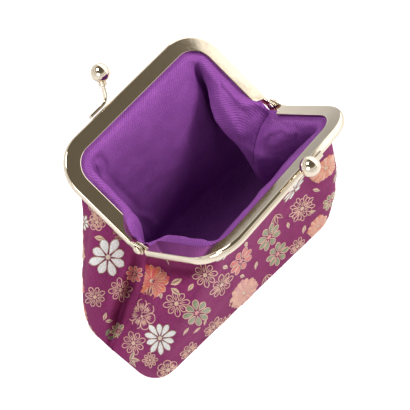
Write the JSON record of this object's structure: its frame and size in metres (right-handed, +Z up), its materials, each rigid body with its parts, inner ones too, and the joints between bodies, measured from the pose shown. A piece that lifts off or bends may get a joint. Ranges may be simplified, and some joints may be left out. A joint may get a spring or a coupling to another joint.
{
  "type": "clasp wallet",
  "caption": "Small clasp wallet: a lined flowered brocade pouch held in a hinged pale gold frame with kiss-lock balls, standing open on its base",
  "frame": {"origin": "middle of the base, on the surface that the purse stands on, straight below the middle of the hinge axis", "axes": "X along the hinge axis from the near hinge to the far one, -Y the front half, +Z up"},
  "size_m": [0.1182, 0.0967, 0.1091],
  "materials": {
    "frame_plate": "polished pale gold plate on pressed steel",
    "paper_cord": "twisted paper cord, hidden in the channel",
    "brocade": "purple satin brocade with woven flowers in several thread colours",
    "twill_lining": "plain purple twill with a soft sheen"
  },
  "bodies": {
    "pouch": {"outer_back_panel": "brocade", "outer_front_panel": "brocade", "lining_back_panel": "twill_lining", "lining_front_panel": "twill_lining"},
    "back_frame": {"back_frame_channel": "frame_plate", "back_paper_cord": "paper_cord", "back_clasp_post": "frame_plate", "back_clasp_ball": "frame_plate", "near_hinge_rivet": "frame_plate", "far_hinge_rivet": "frame_plate"},
    "front_frame": {"front_frame_channel": "frame_plate", "front_paper_cord": "paper_cord", "front_clasp_post": "frame_plate", "front_clasp_ball": "frame_plate"}
  },
  "joints": [
    {"name": "back_frame_hinge", "type": "hinge", "parent": "pouch", "child": "back_frame", "pos_m": [0, 0, 0.068], "axis": [1, 0, 0], "range_deg": [0, 63.4], "deforming": ["outer_back_panel", "lining_back_panel"]},
    {"name": "front_frame_hinge", "type": "hinge", "parent": "pouch", "child": "front_frame", "pos_m": [0, 0, 0.068], "axis": [-1, 0, 0], "range_deg": [0, 51.6], "deforming": ["outer_front_panel", "lining_front_panel"]}
  ],
  "couplings": [
    {"joint": "front_frame_hinge", "follows": "back_frame_hinge", "ratio": 0.8138}
  ]
}
